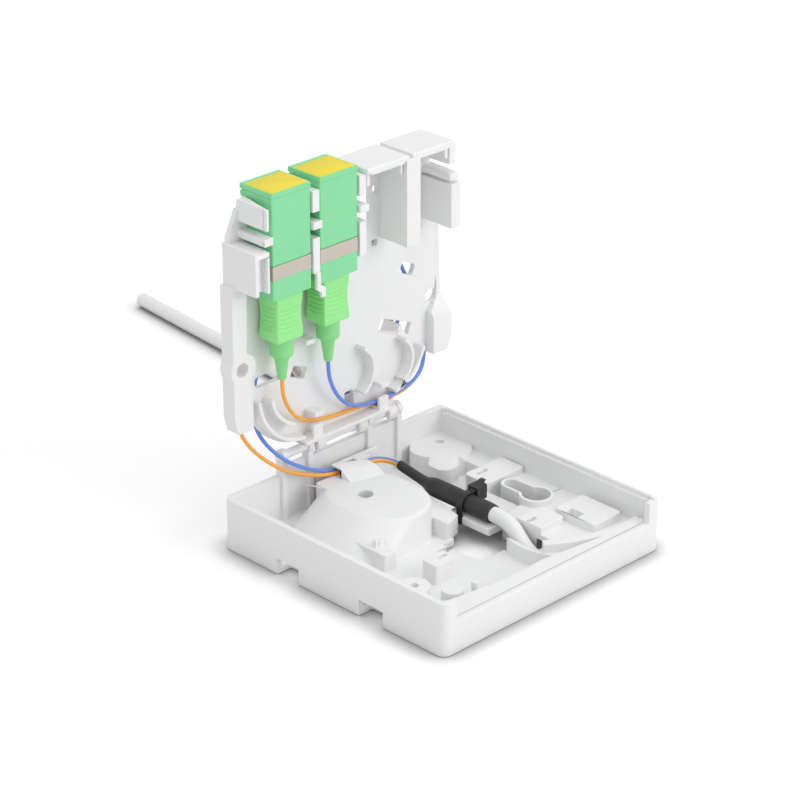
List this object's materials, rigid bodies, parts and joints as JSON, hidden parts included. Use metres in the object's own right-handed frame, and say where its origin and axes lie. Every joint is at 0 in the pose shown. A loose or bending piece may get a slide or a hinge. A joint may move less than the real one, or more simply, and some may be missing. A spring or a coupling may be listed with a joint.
{
  "type": "fibre optic wall outlet",
  "caption": "Square white fibre optic wall outlet, open, with a swing-up carrier of green adapters, plugged fibres and the incoming cable tied in its tray.",
  "frame": {"origin": "centre of the square back face, on the wall", "axes": "+Z out of the wall, +Y towards the hinge side, +X along the outlet side"},
  "size_m": [0.0883, 0.2162, 0.0987],
  "materials": {
    "white_plastic": "fine satin, moulded",
    "cable_jacket": "smooth satin",
    "black_nylon": "smooth satin",
    "shrink_tube": "soft satin",
    "fibre_orange": "smooth, slightly glossy",
    "fibre_blue": "smooth, slightly glossy",
    "adapter_green": "satin, moulded",
    "grip_green": "satin, moulded",
    "boot_green": "soft satin",
    "inner_green": "satin, moulded",
    "inner_white": "satin, moulded",
    "zirconia": "polished",
    "metal_band": "matt",
    "pin_steel": "bright",
    "label_yellow": "smooth film"
  },
  "bodies": {
    "base": {"base_tray": "white_plastic", "cable_tie": "black_nylon", "heat_shrink_sleeve": "shrink_tube", "cable": "cable_jacket", "fibre_orange_base": "fibre_orange", "fibre_blue_base": "fibre_blue", "fibre_orange_hinge": "fibre_orange", "fibre_blue_hinge": "fibre_blue"},
    "carrier": {"coupler_carrier": "white_plastic", "port_blank_3": "white_plastic", "port_blank_4": "white_plastic", "adapter_body_1": "adapter_green", "adapter_clip_1": "metal_band", "sleeve_holder_1": "inner_green", "alignment_sleeve_1": "zirconia", "shutter_pin_1": "pin_steel", "shutter_spring_1": "pin_steel", "connector_body_1": "inner_white", "ferrule_1": "zirconia", "connector_boot_1": "boot_green", "adapter_body_2": "adapter_green", "adapter_clip_2": "metal_band", "sleeve_holder_2": "inner_green", "alignment_sleeve_2": "zirconia", "shutter_pin_2": "pin_steel", "shutter_spring_2": "pin_steel", "connector_body_2": "inner_white", "ferrule_2": "zirconia", "connector_boot_2": "boot_green", "fibre_orange_carrier": "fibre_orange", "fibre_blue_carrier": "fibre_blue"},
    "flap_1": {"shutter_flap_1": "adapter_green", "shutter_label_1": "label_yellow"},
    "grip_1": {"connector_grip_1": "grip_green"},
    "flap_2": {"shutter_flap_2": "adapter_green", "shutter_label_2": "label_yellow"},
    "grip_2": {"connector_grip_2": "grip_green"}
  },
  "joints": [
    {"name": "carrier_hinge", "type": "hinge", "parent": "base", "child": "carrier", "pos_m": [0, 0.0386, 0.0202], "axis": [1, 0, 0], "range_deg": [-10, 90], "deforming": ["fibre_orange_hinge", "fibre_blue_hinge"]},
    {"name": "flap_hinge_1", "type": "hinge", "parent": "carrier", "child": "flap_1", "pos_m": [-0.0243, 0.0397, 0.09615], "axis": [-1, 0, 0], "range_deg": [0, 100], "stiffness_Nm_per_rad": 0.0005, "springref_deg": -20.05},
    {"name": "grip_slide_1", "type": "slide", "parent": "carrier", "child": "grip_1", "axis": [0, 0, -1], "range_m": [0, 0.0012]},
    {"name": "flap_hinge_2", "type": "hinge", "parent": "carrier", "child": "flap_2", "pos_m": [-0.0081, 0.0397, 0.09615], "axis": [-1, 0, 0], "range_deg": [0, 100], "stiffness_Nm_per_rad": 0.0005, "springref_deg": -20.05},
    {"name": "grip_slide_2", "type": "slide", "parent": "carrier", "child": "grip_2", "axis": [0, 0, -1], "range_m": [0, 0.0012]}
  ]
}
